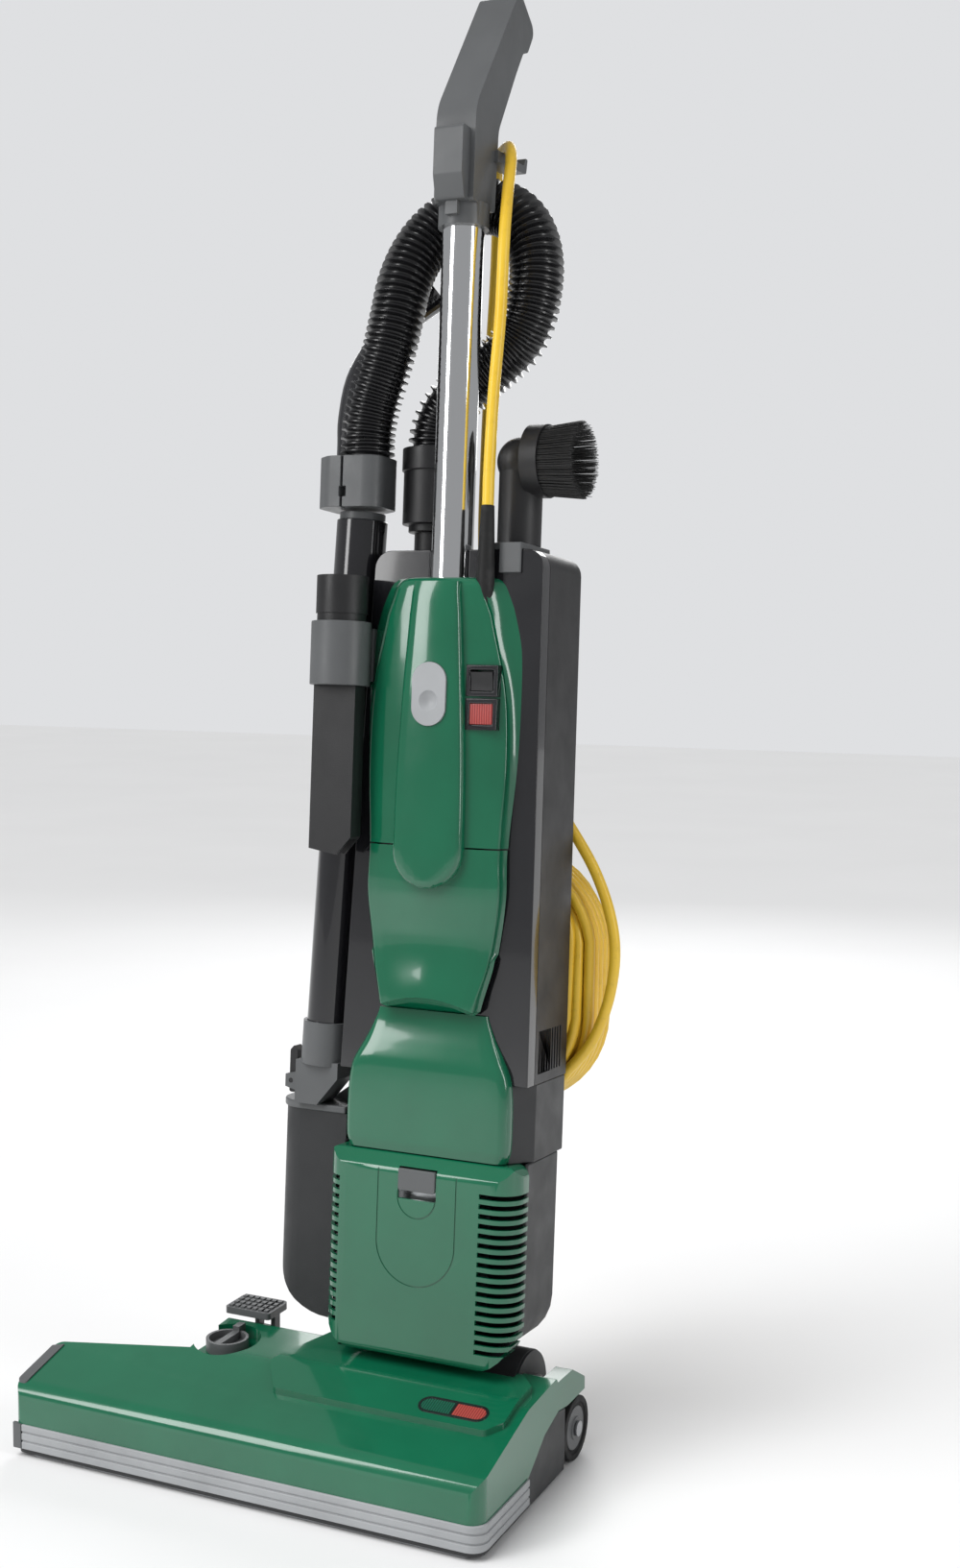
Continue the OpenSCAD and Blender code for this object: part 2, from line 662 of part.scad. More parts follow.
// Crowned plan of the green front covers
function crowned(i, back) = let (c = [body_x, cover_y + i + crown_r])
    concat(arc(c, crown_r, 270 - 17, 270 + 17, 14), [[body_x + 63.7, back], [body_x - 63.7, back]]);

function panel_front_view(i) = rounded([[body_x - 55 + i, door_z + 0.5 + i],
    [body_x + 55 - i, door_z + 0.5 + i], [body_x + 58.5 - i, 545], [body_x + 58 - i, 605],
    [body_x + 50 - i, 656], [body_x + 40 - i, panel_top - i], [body_x - 32 + i, panel_top - i],
    [body_x - 44 + i, 656], [body_x - 57 + i, 600], [body_x - 58.5 + i, 545]],
    [0, 0, 30, 40, 20, 14, 12, 30, 40, 30]);

// Raised spine that houses the foot of the handle tube
function spine_view() = concat(arc([body_x, door_z - 3], 29, 180, 360, 18),
    [[body_x + 29, 540], [body_x + 26, 600], [body_x + 21.5, 655], [body_x + 19, panel_top - 1],
     [body_x - 19, panel_top - 1], [body_x - 21.5, 655], [body_x - 26, 600], [body_x - 29, 540]]);

module control_panel() color(GREEN) upright() difference() {
    union() {
        intersection() {
            along_y(0, shell_y) polygon(panel_front_view(0));
            along_z(door_z, 700) polygon(crowned(0, shell_y));
        }
        along_y(4, 10.6) polygon(spine_view());
        span([body_x - 24, 8, door_z + 4], [body_x + 24, 16, 675]);
    }
    difference() {
        intersection() {
            along_y(0, shell_y + 1) polygon(panel_front_view(3));
            along_z(door_z, 700) polygon(crowned(3, shell_y + 2));
        }
        span([0, 0, 0], [200, 16.4, 560]);
    }
    rod_z([body_x, pole_y], pole_r + CLEAR, pole_foot - 10, 700);
    along_y(0, 20) translate([body_x, button_z]) rotate(90) pill(48.6, 28.6);
    for (p = [switch_at, lamp_at]) span([p[0] - 13.1, 5, p[1] - 11.9], [p[0] + 13.1, 26, p[1] + 11.9]);
    rod_z(relief_at, 7 + CLEAR, 650, 700);
}

module switch_bezels() color(BLACK) upright() for (p = [switch_at, lamp_at]) difference() {
    span([p[0] - 13, 11.6, p[1] - 11.8], [p[0] + 13, 20, p[1] + 11.8]);
    span([p[0] - 9.6, 11, p[1] - 8], [p[0] + 9.6, 21, p[1] + 8]);
}

module switch_rocker() color(BLACK) upright() translate([switch_at[0], 17, switch_at[1]]) rotate([7, 0, 0]) {
    along_x(-9, 9) polygon([[-2.6, -7], [-5.2, -7], [-4.2, 0], [-5.2, 7], [-2.6, 7], [2, 0]]);
    rod_x(-9.5, 9.5, [0, 0], 1.2);
}

module lamp_lens() color([0.75, 0.2, 0.2]) upright()
    span([lamp_at[0] - 9.5, 12.6, lamp_at[1] - 7.9], [lamp_at[0] + 9.5, 19, lamp_at[1] + 7.9]);

module tube_button() color(PALE) upright() difference() {
    along_y(1.8, 9.5) translate([body_x, button_z]) rotate(90) pill(48, 28);
    // Finger dimple
    translate([body_x, -6, button_z - 5]) sphere(r = 11);
}

module strain_relief() color(BLACK) upright() {
    rod_z(relief_at, 7, 662, 686);
    translate([relief_at[0], relief_at[1], 686]) cylinder(r1 = 7, r2 = 5, h = 52);
}

module filter_door() color(GREEN) upright() difference() {
    intersection() {
        along_y(0, shell_y - 0.5) polygon(rounded(concat([[body_x + 55, door_z], [body_x - 55, door_z],
            [body_x - 55.5, 440], [body_x - 49, 392]], arc([body_x, door_base - 83], 92, 114, 66, 8),
            [[body_x + 49, 392], [body_x + 55.5, 440]]),
            concat([0, 0, 30, 30], [for (i = [0:8]) 0], [30, 30])));
        along_z(300, door_z) polygon(crowned(0, shell_y));
    }
    intersection() {
        along_y(0, shell_y + 1) polygon([[body_x + 52, door_z - 3], [body_x - 52, door_z - 3],
            [body_x - 52, 440], [body_x - 46, 396], [body_x + 46, 396], [body_x + 52, 440]]);
        along_z(300, door_z) polygon(crowned(wall, shell_y + 2));
    }
    // The foot stands in front of the cover below it
    span([0, 18, 300], [200, 40, 392]);
}

module pole_tube() color(CHROME) upright() difference() {
    rod_z([body_x, pole_y], pole_r, pole_foot, pole_top);
    rod_z([body_x, pole_y], pole_r - 1.5, pole_foot - 1, pole_top + 1);
}

// Side view of the handle: a straight socket that bends back into the grip
function handle_side() = rounded([[15.5, 966], [15.5, 1037], [88, 1149], [119, 1127.5], [107, 1107],
    [98, 1103], [86, 1083], [57, 1030], [55, 966]], [3, 40, 9, 9, 6, 6, 8, 26, 3]);

module handle_grip() color(GREY) upright() difference() {
    union() {
        along_x(body_x - 16.5, body_x + 16.5) polygon(handle_side());
        rod_z([body_x, pole_y], 19.5, 950, 968);
        // Block on the front, with a chamfered foot and a short tongue
        along_x(body_x - 12, body_x + 12) polygon(rounded([[17, 966], [9, 966], [3.5, 984], [3.5, 1020],
            [17, 1020]], [0, 3, 6, 3, 0]));
        span([body_x - 5, 12, 956], [body_x + 5, 17, 967]);
        // Arm that carries the cord over the hose
        along_x(body_x + 4, body_x + 20) polygon(rounded([[50, 1004], [104, 1010], [106, 1022], [102, 1022],
            [99, 1015.5], [50, 1013]], [0, 3, 1, 1, 2, 0]));
    }
    rod_z([body_x, pole_y], pole_r + CLEAR, 940, pole_top + CLEAR);
}

// One rear hook: a curved ledge under the coil's bend with a lip behind it
module cord_hook(z, up) {
    a0 = up ? 62 : 242;
    along_y(body_back, coil_y + coil_depth + 3.5) polygon(concat(
        arc([coil_x, z], coil_in - 0.5, a0, a0 + 56, 8), arc([coil_x, z], coil_in - 6, a0 + 56, a0, 8)));
    along_y(coil_y + coil_depth + 0.5, coil_y + coil_depth + 3.5) polygon(concat(
        arc([coil_x, z], coil_in + 16, a0, a0 + 56, 8), arc([coil_x, z], coil_in - 6, a0 + 56, a0, 8)));
}

module rear_cord_hooks() color(DARK) upright() {
    cord_hook(coil_high, true);
    cord_hook(coil_low, false);
}

// ---------------------------------------------------------------- wand, hose and tools

module wand_tube() color(BLACK) beside_wand() difference() {
    union() {
        rod_z([0, 0], wand_r, 305, 645);
        rod_z([0, 0], 20, 645, 732);
    }
    rod_z([0, 0], wand_r - 2, 304, 733);
}

module wand_collar() color(GREY) {
    beside_wand() ring_z([0, 0], 18, 14, 732, 738);
    upright() difference() {
        along_z(740, 780) polygon(rounded([[-21, 34], [-8, 23], [36, 23], [36, 60], [14, 76], [-21, 76]],
            [10, 12, 14, 14, 10, 12]));
        span([4, 20, 739], [6, 32, 781]);
        span([3, 20, 748], [9, 32, 756]);
    }
}

// Grip that the user holds when the wand is out, bent over towards the middle
grip_route = [[-9, 63, 780], [-9, 63, 796], [-9, 63, 815], [-5, 66, 845], [6, 74, 872],
    [24, 84, 898], [48, 92, 920]];
grip_sizes = [for (i = [0:24]) i < 19 ? 11.5 : 11.5 + 3.5*(i - 19)/5];

module hose_handle() color(BLACK) upright() tube_along(curve(grip_route, 4), grip_sizes, 24, [1, 0, 0]);

module tool_holders() color(GREY) upright() {
    // Ring round the crevice tool, with its arm to the housing
    ring_z(crevice_at, 23.2, 20.4, 600, 649);
    difference() {
        span([26, 24, 604], [38, 34, 645]);
        rod_z(crevice_at, 22, 590, 660);
        along_y(shell_y, 60) polygon(shell_front_view(0));
    }
    // Peg and saddle for the dusting brush
    span([140, 27.6, housing_top - 18], [158, shell_y, housing_top + 5]);
    span([123, shell_y, housing_top], [158, 84, housing_top + 5]);
    rod_z(duster_at, 13.5, housing_top + 5, housing_top + 26);
}

module crevice_tool() color(BLACK) upright() difference() {
    union() {
        rod_z(crevice_at, 20, 655, 684);
        rod_z(crevice_at, 19, 600, 655);
        // Flat blade with a slanted end
        along_y(crevice_at[1] - 8, crevice_at[1] + 8) polygon([[crevice_at[0] - 18.2, 600],
            [crevice_at[0] - 18.2, 474], [crevice_at[0] + 6, 470], [crevice_at[0] + 18.2, 484],
            [crevice_at[0] + 18.2, 600]]);
    }
    rod_z(crevice_at, 16.8, 620, 690);
    span([crevice_at[0] - 16.5, crevice_at[1] - 5.5, 460], [crevice_at[0] + 16.5, crevice_at[1] + 5.5, 630]);
}

module dusting_brush() color(BLACK) upright() {
    ring_z(duster_at, 17, 14, housing_top + 5.2, 758);
    translate([duster_at[0], duster_at[1], duster_z]) difference() {
        union() {
            translate([0, 0, -20]) cylinder(r = 17, h = 20);
            sphere(r = 19);
            rotate([0, 90, 0]) cylinder(r = 19, h = 12);
            translate([9, 0, 0]) rotate([0, 90, 0]) cylinder(r = 28, h = 14);
        }
        translate([0, 0, -21]) cylinder(r = 14, h = 21);
        sphere(r = 15);
        rotate([0, 90, 0]) cylinder(r = 15, h = 30);
        translate([12, 0, 0]) rotate([0, 90, 0]) cylinder(r = 24, h = 30);
    }
}

module dusting_bristles() color(BLACK) upright() translate([duster_at[0] + 23, duster_at[1], duster_z])
    rotate([0, 90, 0]) rotate_extrude() polygon([[20, 0], [27, 0], [30, 30], [24, 30]]);

// Cuff that plugs into the bag housing and takes the hose's end
module hose_cuff() color(DARK) upright() difference() {
    union() {
        rod_z(cuff_at, 14, housing_top, 724);
        rod_z(cuff_at, 19, 724, 730);
        rod_z(cuff_at, 24, 730, 772);
        rod_z(cuff_at, 25.5, 772, 790);
    }
    rod_z(cuff_at, 11, housing_top - 1, 740);
    rod_z(cuff_at, hose_d/2 + 0.2, 738, 791);
}

// Route of the hose from the wand's collar over the back of the handle to the cuff
hose_route = [
    [17.5, 42, 780], [17.5, 42, 788], [17.5, 42, 797], [19, 42, 810], [22.5, 42, 826], [28, 42, 844],
    [33.5, 43, 866], [37, 46.5, 891], [39.5, 52, 917], [45, 61, 941], [55, 71, 961], [70, 80, 975.5],
    [88, 86, 982], [106, 88.5, 979.5], [122, 88, 968.5], [133, 86.5, 951], [138, 84.5, 930],
    [137.5, 82.8, 908], [134, 81.9, 889], [126, 81.5, 873], [113, 80, 860], [98, 79, 849],
    [86, 78, 839.5], [76.5, 77, 831], [69.5, 76.2, 823], [64.3, 75.6, 814.5], [61.1, 75.2, 804.8],
    [60, 75, 795], [60, 75, 785], [60, 75, 775], [60, 75, 760]];

module suction_hose() color(BLACK) upright() tube_along(curve(hose_route, 3), [hose_d/2], 16, [1, 0, 0]);

// Route of the cord from the strain relief over the handle's arm and down to the coil
cord_route = [[132, 22, 738], [132, 22, 750], [132, 22, 764], [133, 23, 820], [135, 26, 880], [134, 30, 935],
    [131, 40, 975], [127, 53, 1004], [119, 67, 1020], [108, 81, 1023], [96, 95, 1020], [90, 110, 1005],
    [87, 119, 975], [86, 121, 930], [85, 119, 860], [85, 117, 790], [87, 114, 720], [93, 113, 665],
    [105, 114, 610],
    [128, 115, 560], [160, 117, 510], [192, 120, 460], [208, 122, 412], [207, 122, 368], [194, 120, 328],
    [172, 119.5, 300]];
tail_route = [[139, 119.5, 435], [146, 119.5, 426], [150, 120, 412], [149, 121.5, 399], [146, 123, 388]];

module power_cord() color(YELLOW) upright() {
    tube_along(curve(cord_route, 3), [cord_d/2], 10, [1, 0, 0]);
    tube_along(curve(tail_route, 2), [cord_d/2], 10, [1, 0, 0]);
}

// The rest of the cord, wound in an oval coil over both rear hooks
module cord_coil() color(YELLOW) upright() difference() {
    coil_slab(coil_out, coil_y, coil_y + coil_depth);
    coil_slab(coil_in, coil_y - 1, coil_y + coil_depth + 1);
}

module coil_slab(r, y0, y1) {
    along_y(y0, y1) translate([coil_x, coil_low]) circle(r = r);
    along_y(y0, y1) translate([coil_x, coil_high]) circle(r = r);
    span([coil_x - r, y0, coil_low], [coil_x + r, y1, coil_high]);
}

module cord_plug() color(BLACK) upright() {
    translate([plug_at[0], plug_at[1], plug_top - 18]) cylinder(r1 = 8, r2 = 5.5, h = 18);
    along_z(plug_top - 44, plug_top - 18) translate(plug_at)
        polygon(rounded([[-9, -13], [9, -13], [9, 13], [-9, 13]], [6, 6, 6, 6]));
    for (s = [-1, 1]) span([plug_at[0] - 3.2, plug_at[1] + 6.5*s - 0.8, plug_top - 62],
        [plug_at[0] + 3.2, plug_at[1] + 6.5*s + 0.8, plug_top - 44]);
}

// ---------------------------------------------------------------- nodes

sole_plate();
head_chassis();
rear_carriage();
head_cover();
bumper();
left_end_trim();
indicator_frame();
green_lens();
red_lens();
brush_motor();
drive_belt();
brush_bearings();
rear_axle();
head_screws();
brush_core();
brush_bristles();
motor_pulley();
left_wheel_hub();
left_tyre();
right_wheel_hub();
right_tyre();
height_knob();
release_pedal();
neck_yoke();
lower_housing();
side_duct();
duct_lid();
dock_socket();
dock_lever();
mid_frame();
bulge_cover();
control_panel();
bag_shell_front();
bag_shell_rear();
dust_bag();
vacuum_motor_can();
fan_rotor();
hose_cuff();
pole_tube();
handle_grip();
rear_cord_hooks();
switch_bezels();
switch_rocker();
lamp_lens();
tube_button();
strain_relief();
motor_cover();
cover_latch();
filter_door();
wand_tube();
wand_collar();
hose_handle();
tool_holders();
crevice_tool();
dusting_brush();
dusting_bristles();
suction_hose();
power_cord();
cord_coil();
cord_plug();
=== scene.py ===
"""Looks of a commercial upright vacuum cleaner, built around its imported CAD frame."""
import json
import math
import random

import bmesh
import bpy
from mathutils import Matrix, Vector

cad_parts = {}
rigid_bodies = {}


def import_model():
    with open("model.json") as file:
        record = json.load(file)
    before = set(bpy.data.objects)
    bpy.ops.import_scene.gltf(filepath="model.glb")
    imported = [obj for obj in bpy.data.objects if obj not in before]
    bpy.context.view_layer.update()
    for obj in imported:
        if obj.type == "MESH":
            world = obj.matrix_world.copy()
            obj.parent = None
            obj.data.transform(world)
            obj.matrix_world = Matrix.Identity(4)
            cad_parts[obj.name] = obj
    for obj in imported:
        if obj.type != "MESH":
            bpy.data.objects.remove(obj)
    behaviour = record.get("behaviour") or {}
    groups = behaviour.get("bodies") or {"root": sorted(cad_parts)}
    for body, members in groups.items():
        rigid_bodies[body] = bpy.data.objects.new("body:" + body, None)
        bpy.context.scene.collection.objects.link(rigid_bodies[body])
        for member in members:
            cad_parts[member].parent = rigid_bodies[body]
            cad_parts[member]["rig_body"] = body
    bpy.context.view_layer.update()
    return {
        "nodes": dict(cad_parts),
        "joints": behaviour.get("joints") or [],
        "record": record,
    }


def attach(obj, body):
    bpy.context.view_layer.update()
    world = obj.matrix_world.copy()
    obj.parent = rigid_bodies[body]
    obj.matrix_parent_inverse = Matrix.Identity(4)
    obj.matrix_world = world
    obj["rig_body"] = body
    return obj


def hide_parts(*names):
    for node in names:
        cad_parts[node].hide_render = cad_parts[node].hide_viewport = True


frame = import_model()

NODES = frame["nodes"]
SLOTS = {row["node"]: row["material_slot"] for row in frame["record"]["subparts"]}
MM = 0.001

# The upright is drawn standing, in millimetres, and leaned back about its neck pivot
LEAN = math.radians(4.2)
PIVOT = Vector(next(j["pos_m"] for j in frame["joints"] if j["name"] == "upright_recline"))
STANDING = Matrix.Translation(PIVOT) @ Matrix.Rotation(-LEAN, 4, "X") @ Matrix.Translation(-PIVOT)
MIDDLE_X = 97.5


def leaned(point):
    """A point of the standing upright, in millimetres, in the row frame, in metres."""
    return STANDING @ (Vector(point) * MM)


def level(point):
    """A point of the head, in millimetres, in the row frame, in metres."""
    return Vector(point) * MM


# ------------------------------------------------------------------ camera and light

CAMERA_PLACE = (0.71385, -1.2028, 0.65272)
CAMERA_LENS = 42.47
CAMERA_AZIMUTH, CAMERA_PITCH, CAMERA_ROLL = 24.74, 5.02, 0.25
BACKDROP_LIGHT, BACKDROP_SEEN = 0.34, 0.76


def set_camera():
    azimuth, pitch, roll = (math.radians(a) for a in (CAMERA_AZIMUTH, CAMERA_PITCH, CAMERA_ROLL))
    forward = Vector((-math.sin(azimuth) * math.cos(pitch), math.cos(azimuth) * math.cos(pitch),
                      -math.sin(pitch)))
    right = Vector((math.cos(azimuth), math.sin(azimuth), 0))
    up = right.cross(forward)
    right, up = right * math.cos(roll) + up * math.sin(roll), up * math.cos(roll) - right * math.sin(roll)
    data = bpy.data.cameras.new("camera")
    data.lens = CAMERA_LENS
    camera = bpy.data.objects.new("camera", data)
    bpy.context.scene.collection.objects.link(camera)
    turn = Matrix((right, up, -forward)).transposed().to_4x4()
    camera.matrix_world = Matrix.Translation(CAMERA_PLACE) @ turn
    bpy.context.scene.camera = camera


def softbox(name, place, aim, size, power):
    data = bpy.data.lights.new(name, "AREA")
    data.shape = "RECTANGLE"
    data.size, data.size_y = size
    data.energy = power
    light = bpy.data.objects.new(name, data)
    bpy.context.scene.collection.objects.link(light)
    light.location = place
    light.rotation_euler = (Vector(aim) - Vector(place)).to_track_quat("-Z", "Y").to_euler()


def set_studio():
    bpy.context.scene.view_settings.view_transform = "Standard"
    world = bpy.data.worlds.new("studio")
    bpy.context.scene.world = world
    world.use_nodes = True
    tree = world.node_tree
    background = tree.nodes["Background"]
    background.inputs["Color"].default_value = (0.97, 0.98, 1.0, 1)
    # The backdrop is seen brighter than it lights the object
    path = tree.nodes.new("ShaderNodeLightPath")
    level_of = tree.nodes.new("ShaderNodeMapRange")
    level_of.inputs["To Min"].default_value = BACKDROP_LIGHT
    level_of.inputs["To Max"].default_value = BACKDROP_SEEN
    tree.links.new(path.outputs["Is Camera Ray"], level_of.inputs["Value"])
    tree.links.new(level_of.outputs["Result"], background.inputs["Strength"])
    softbox("key", (-1.5, -2.1, 1.7), (0.05, 0, 0.5), (0.8, 1.7), 26)
    softbox("side", (2.4, -0.3, 1.3), (0.1, 0, 0.6), (0.4, 1.8), 14)
    softbox("back", (-0.6, 2.2, 1.6), (0.1, 0, 0.6), (1.4, 1.4), 20)
    data = bpy.data.lights.new("sky", "SUN")
    data.energy = 2.3
    data.angle = math.radians(40)
    sun = bpy.data.objects.new("sky", data)
    bpy.context.scene.collection.objects.link(sun)
    sun.visible_glossy = False
    sun.rotation_euler = Vector((0.35, 0.5, -1)).to_track_quat("-Z", "Y").to_euler()
    bpy.ops.mesh.primitive_grid_add(x_subdivisions=8, y_subdivisions=8, size=16, location=(0, 0, 0))
    floor = bpy.context.object
    floor.name = "floor"
    floor.data.materials.append(floor_paint())


# ------------------------------------------------------------------ materials

class Shader:
    """A Principled material with the few node patterns that the finishes share."""

    def __init__(self, name, **values):
        self.material = bpy.data.materials.new(name)
        self.material.use_nodes = True
        self.tree = self.material.node_tree
        self.bsdf = self.tree.nodes["Principled BSDF"]
        self.place = self.add("ShaderNodeTexCoord").outputs["Object"]
        for key, value in values.items():
            self.bsdf.inputs[key.replace("_", " ")].default_value = value

    def add(self, kind, **settings):
        node = self.tree.nodes.new(kind)
        for key, value in settings.items():
            setattr(node, key, value)
        return node

    def link(self, source, target):
        self.tree.links.new(source, target)

    def noise(self, grain, detail=3.0, rough=0.55, stretch=(1, 1, 1)):
        """Noise whose grains are about grain metres across."""
        mapping = self.add("ShaderNodeMapping")
        mapping.inputs["Scale"].default_value = stretch
        noise = self.add("ShaderNodeTexNoise")
        noise.inputs["Scale"].default_value = 1 / grain
        noise.inputs["Detail"].default_value = detail
        noise.inputs["Roughness"].default_value = rough
        self.link(self.place, mapping.inputs["Vector"])
        self.link(mapping.outputs["Vector"], noise.inputs["Vector"])
        return noise.outputs["Fac"]

    def spread(self, value, low, high, start=0.3, end=0.7):
        """value from start to end, spread over low to high."""
        node = self.add("ShaderNodeMapRange", clamp=True)
        for key, number in (("From Min", start), ("From Max", end), ("To Min", low), ("To Max", high)):
            node.inputs[key].default_value = number
        self.link(value, node.inputs["Value"])
        return node.outputs["Result"]

    def mix(self, factor, first, second):
        node = self.add("ShaderNodeMix", data_type="RGBA")
        for socket, value in ((node.inputs[6], first), (node.inputs[7], second)):
            if isinstance(value, tuple):
                socket.default_value = (*value, 1)
            else:
                self.link(value, socket)
        self.link(factor, node.inputs[0])
        return node.outputs[2]

    def edges(self, low=0.53, high=0.62):
        """1 along sharp outer edges, 0 elsewhere."""
        geometry = self.add("ShaderNodeNewGeometry")
        return self.spread(geometry.outputs["Pointiness"], 0, 1, low, high)

    def bump(self, height, depth):
        node = self.add("ShaderNodeBump")
        node.inputs["Strength"].default_value = 1.0
        node.inputs["Distance"].default_value = depth
        self.link(height, node.inputs["Height"])
        self.link(node.outputs["Normal"], self.bsdf.inputs["Normal"])

    def colour(self, value):
        self.link(value, self.bsdf.inputs["Base Color"])

    def roughness(self, value):
        self.link(value, self.bsdf.inputs["Roughness"])


def shade(colour, factor):
    return tuple(min(1, c * factor) for c in colour)


def moulded(name, colour, rough, grain, relief, worn=0.08, coat=0.0):
    """Moulded plastic: a grained skin, faint clouding and lighter rubbed edges."""
    s = Shader(name, Coat_Weight=coat, Coat_Roughness=0.04)
    cloud = s.noise(0.09, 4)
    body = s.mix(s.spread(cloud, 0, 1), shade(colour, 0.9), shade(colour, 1.1))
    rubbed = tuple(c + 0.08 for c in shade(colour, 1.25))
    scuffs = s.add("ShaderNodeMath", operation="MULTIPLY")
    s.link(s.edges(), scuffs.inputs[0])
    s.link(s.spread(s.noise(0.011, 5), 0, worn, 0.4, 0.65), scuffs.inputs[1])
    s.colour(s.mix(scuffs.outputs[0], body, rubbed))
    s.roughness(s.spread(s.noise(0.03, 5), rough * 0.82, rough * 1.2))
    s.bump(s.noise(grain, 3), relief)
    return s.material


def floor_paint():
    s = Shader("pale_floor", Roughness=0.6)
    s.colour(s.mix(s.spread(s.noise(0.5, 3), 0, 1), (0.79, 0.79, 0.79), (0.81, 0.81, 0.81)))
    s.bump(s.noise(0.004, 2), 0.00005)
    return s.material


def plated(name):
    """Bright plated tube with fine lengthwise polishing marks."""
    s = Shader(name, Metallic=1.0, Base_Color=(0.86, 0.87, 0.88, 1))
    marks = s.noise(0.0012, 3, stretch=(1, 1, 0.02))
    s.roughness(s.spread(marks, 0.05, 0.13))
    s.bump(marks, 0.000012)
    return s.material


def machined(name, colour, rough):
    s = Shader(name, Metallic=1.0)
    marks = s.noise(0.0016, 4, stretch=(0.05, 1, 1))
    s.colour(s.mix(s.spread(s.noise(0.03, 4), 0, 1), shade(colour, 0.82), colour))
    s.roughness(s.spread(marks, rough * 0.8, rough * 1.3))
    s.bump(marks, 0.00004)
    return s.material


def rubbery(name, colour, rough, grain, relief):
    s = Shader(name, Specular_IOR_Level=0.35)
    dust = s.spread(s.noise(0.02, 6, 0.65), 0, 0.5, 0.5, 0.75)
    s.colour(s.mix(dust, colour, tuple(c + 0.05 for c in colour)))
    s.roughness(s.spread(s.noise(0.006, 4), rough * 0.85, min(1, rough * 1.1)))
    s.bump(s.noise(grain, 4), relief)
    return s.material


def sheathed(name):
    """Flexible mains cord: smooth sheath with faint soiling."""
    s = Shader(name, Coat_Weight=0.25, Coat_Roughness=0.2)
    clean = s.mix(s.spread(s.noise(0.05, 3), 0, 1), (0.80, 0.50, 0.028), (0.86, 0.57, 0.045))
    s.colour(s.mix(s.spread(s.noise(0.008, 5, 0.7), 0, 0.45, 0.55, 0.8), clean, (0.42, 0.27, 0.03)))
    s.roughness(s.spread(s.noise(0.01, 4), 0.3, 0.46))
    s.bump(s.noise(0.0012, 2), 0.00006)
    return s.material


def fibre(name, dark, light):
    s = Shader(name, Roughness=0.55, Sheen_Weight=0.2)
    s.colour(s.mix(s.spread(s.noise(0.0015, 4), 0, 1), dark, light))
    s.bump(s.noise(0.0006, 2), 0.00008)
    return s.material


def lens(name, deep, bright):
    """Translucent lens with fine prism ribs under a clear skin."""
    s = Shader(name, Roughness=0.16, Coat_Weight=0.8, Coat_Roughness=0.04, Specular_IOR_Level=0.6)
    wave = s.add("ShaderNodeTexWave", wave_type="BANDS", bands_direction="X")
    wave.inputs["Scale"].default_value = 160
    wave.inputs["Distortion"].default_value = 0.4
    s.link(s.place, wave.inputs["Vector"])
    s.colour(s.mix(wave.outputs["Fac"], deep, bright))
    s.bump(wave.outputs["Fac"], 0.00008)
    return s.material


FINISHES = {
    "green_shell": moulded("gloss_green", (0.004, 0.118, 0.056), 0.14, 0.0035, 0.00001, 0.04, 0.7),
    "dark_housing": moulded("charcoal_grain", (0.021, 0.022, 0.0235), 0.45, 0.0007, 0.00012),
    "gloss_black": moulded("gloss_black", (0.010, 0.010, 0.012), 0.14, 0.004, 0.00001, 0.04, 0.7),
    "matte_black": moulded("black_grain", (0.013, 0.013, 0.014), 0.42, 0.0008, 0.00009),
    "mid_grey": moulded("satin_grey", (0.098, 0.102, 0.105), 0.38, 0.0007, 0.00006),
    "bumper_grey": moulded("pale_grey", (0.34, 0.35, 0.36), 0.42, 0.0009, 0.00006),
    "chrome": plated("bright_tube"),
    "steel": machined("machined_steel", (0.55, 0.56, 0.58), 0.32),
    "rubber": rubbery("soft_black", (0.012, 0.012, 0.012), 0.6, 0.0012, 0.0001),
    "tyre": rubbery("tyre_rubber", (0.014, 0.014, 0.014), 0.75, 0.0015, 0.0002),
    "hose_black": moulded("hose_skin", (0.008, 0.008, 0.009), 0.28, 0.002, 0.00004, 0.05, 0.2),
    "cord_yellow": sheathed("yellow_sheath"),
    "bristle": fibre("black_bristle", (0.006, 0.006, 0.006), (0.03, 0.03, 0.03)),
    "bag_paper": fibre("filter_paper", (0.62, 0.56, 0.44), (0.74, 0.69, 0.57)),
    "green_lens": lens("dark_green_lens", (0.004, 0.05, 0.03), (0.012, 0.1, 0.06)),
    "red_lens": lens("red_lens", (0.22, 0.02, 0.02), (0.46, 0.07, 0.06)),
}


def finish_of(node):
    return FINISHES[SLOTS[node]]


# ------------------------------------------------------------------ meshes

def apply_modifiers(obj):
    """The object's mesh with its modifiers worked in, so that nothing is left to evaluate."""
    evaluated = obj.evaluated_get(bpy.context.evaluated_depsgraph_get())
    made = bpy.data.meshes.new_from_object(evaluated)
    obj.modifiers.clear()
    obj.data = made


def shade_smooth(obj, angle=38):
    obj.data.polygons.foreach_set("use_smooth", [True] * len(obj.data.polygons))
    obj.data.set_sharp_from_angle(angle=math.radians(angle))


def linked(name, data):
    """A new object with this data, in the scene."""
    obj = bpy.data.objects.new(name, data)
    bpy.context.scene.collection.objects.link(obj)
    return obj


def closed_mesh(name, verts, faces):
    """A mesh of these faces, all turned outwards."""
    mesh = bpy.data.meshes.new(name)
    mesh.from_pydata(verts, [], faces)
    bm = bmesh.new()
    bm.from_mesh(mesh)
    bmesh.ops.recalc_face_normals(bm, faces=bm.faces)
    bm.to_mesh(mesh)
    bm.free()
    return mesh


def new_object(name, mesh, body, slot, replaced=()):
    obj = linked(name, mesh)
    mesh.materials.clear()
    mesh.materials.append(FINISHES[slot])
    if replaced:
        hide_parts(*replaced)
    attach(obj, body)
    return obj


WELD = 3e-6
FLAT_ANGLE = math.radians(0.6)
BEVEL_ANGLE = math.radians(30)


